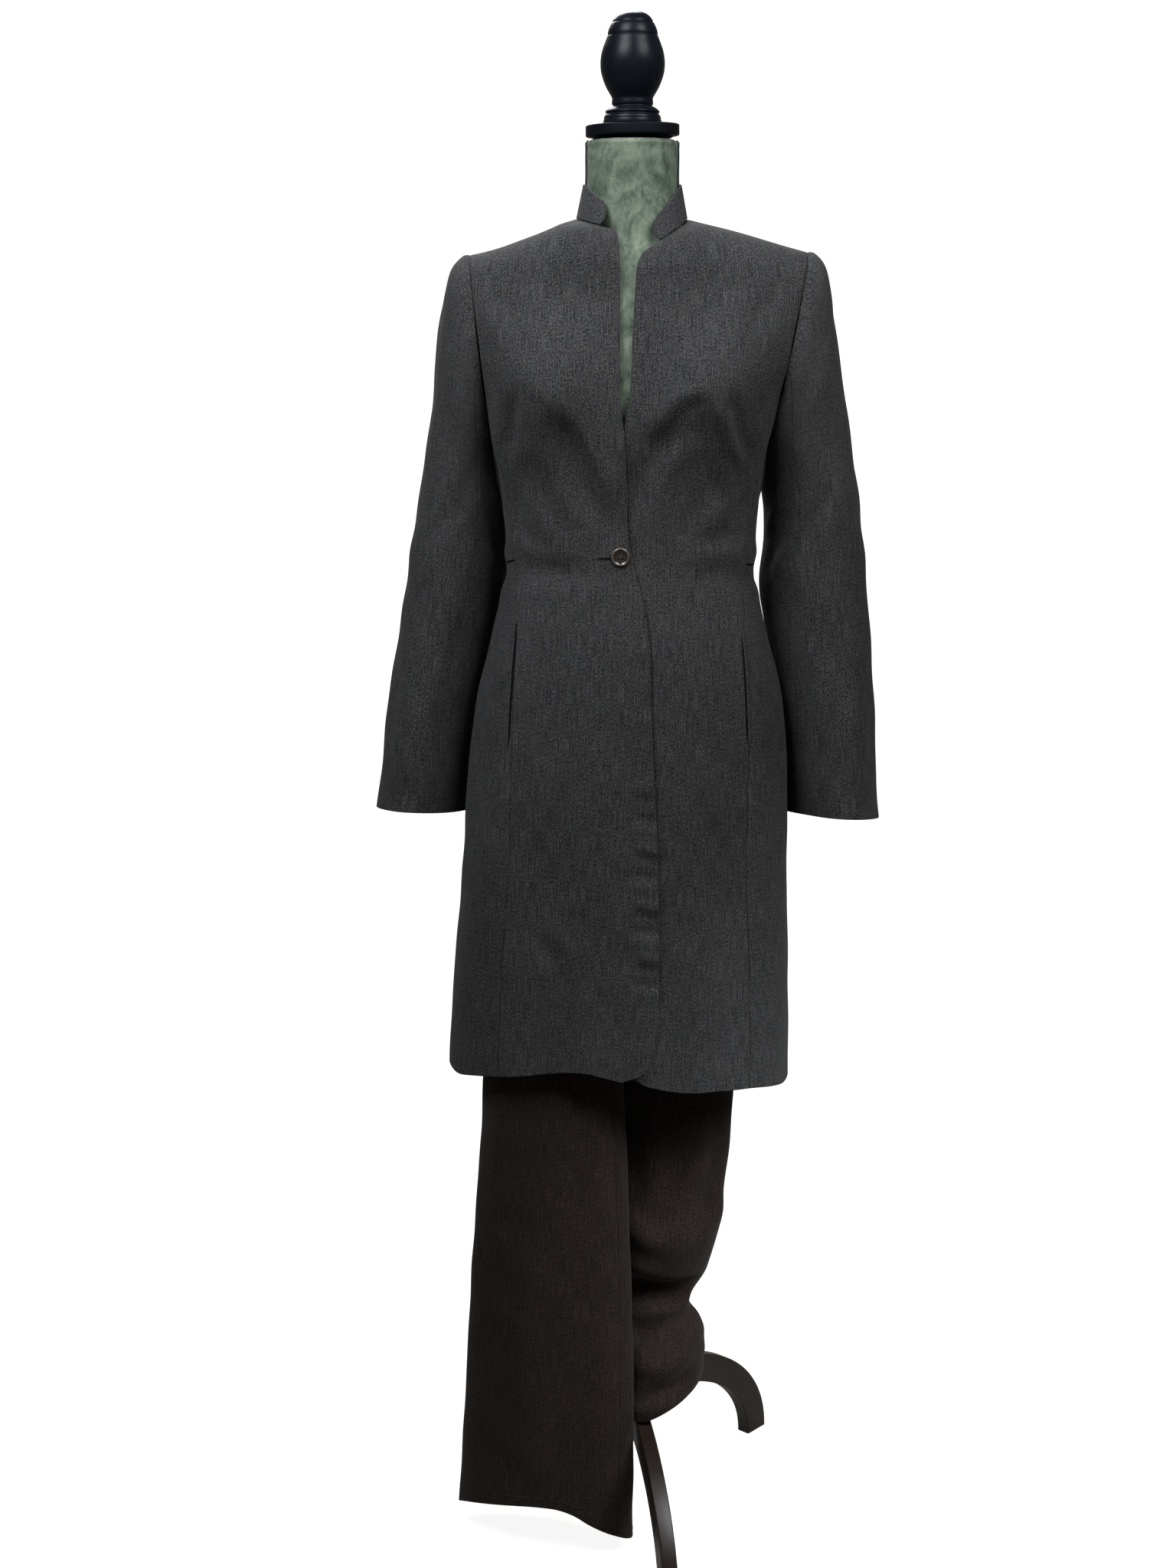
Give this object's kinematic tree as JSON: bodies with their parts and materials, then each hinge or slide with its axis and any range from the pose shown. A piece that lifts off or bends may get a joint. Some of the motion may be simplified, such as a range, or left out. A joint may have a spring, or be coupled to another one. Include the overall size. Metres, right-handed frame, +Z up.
{
  "type": "two-piece suit on a dress form",
  "caption": "Long women's suit jacket with a stand collar, and matching straight trousers, hung on a limbless dress form with a curved tripod stand.",
  "frame": {"origin": "on the floor, under the middle of the object's box", "axes": "+Z up the pole, -Y the way the wearer faces, +X the wearer's left"},
  "size_m": [0.58, 0.4698, 1.754],
  "materials": {
    "wool_jacket": "matt worsted twill, charcoal heather",
    "wool_trousers": "matt worsted twill, dark brown charcoal",
    "velvet": "crushed velvet",
    "lacquer": "black satin lacquer on turned wood",
    "dark_wood": "espresso stain, satin",
    "steel": "black satin paint",
    "horn": "dark horn look, polished"
  },
  "bodies": {
    "root": {"jacket_front_right": "wool_jacket", "jacket_side_right": "wool_jacket", "jacket_back_right": "wool_jacket", "jacket_sleeve_upper_right": "wool_jacket", "jacket_sleeve_under_right": "wool_jacket", "trouser_front_right": "wool_trousers", "trouser_back_right": "wool_trousers", "jacket_front_left": "wool_jacket", "jacket_side_left": "wool_jacket", "jacket_back_left": "wool_jacket", "jacket_sleeve_upper_left": "wool_jacket", "jacket_sleeve_under_left": "wool_jacket", "trouser_front_left": "wool_trousers", "trouser_back_left": "wool_trousers", "jacket_collar": "wool_jacket", "jacket_button": "horn", "trouser_waistband": "wool_trousers", "form_torso": "velvet", "form_base_board": "dark_wood", "neck_cap": "lacquer", "finial": "lacquer", "pole": "steel", "hub": "dark_wood", "stand_leg_front": "dark_wood", "stand_leg_rear_left": "dark_wood", "stand_leg_rear_right": "dark_wood"}
  },
  "joints": []
}
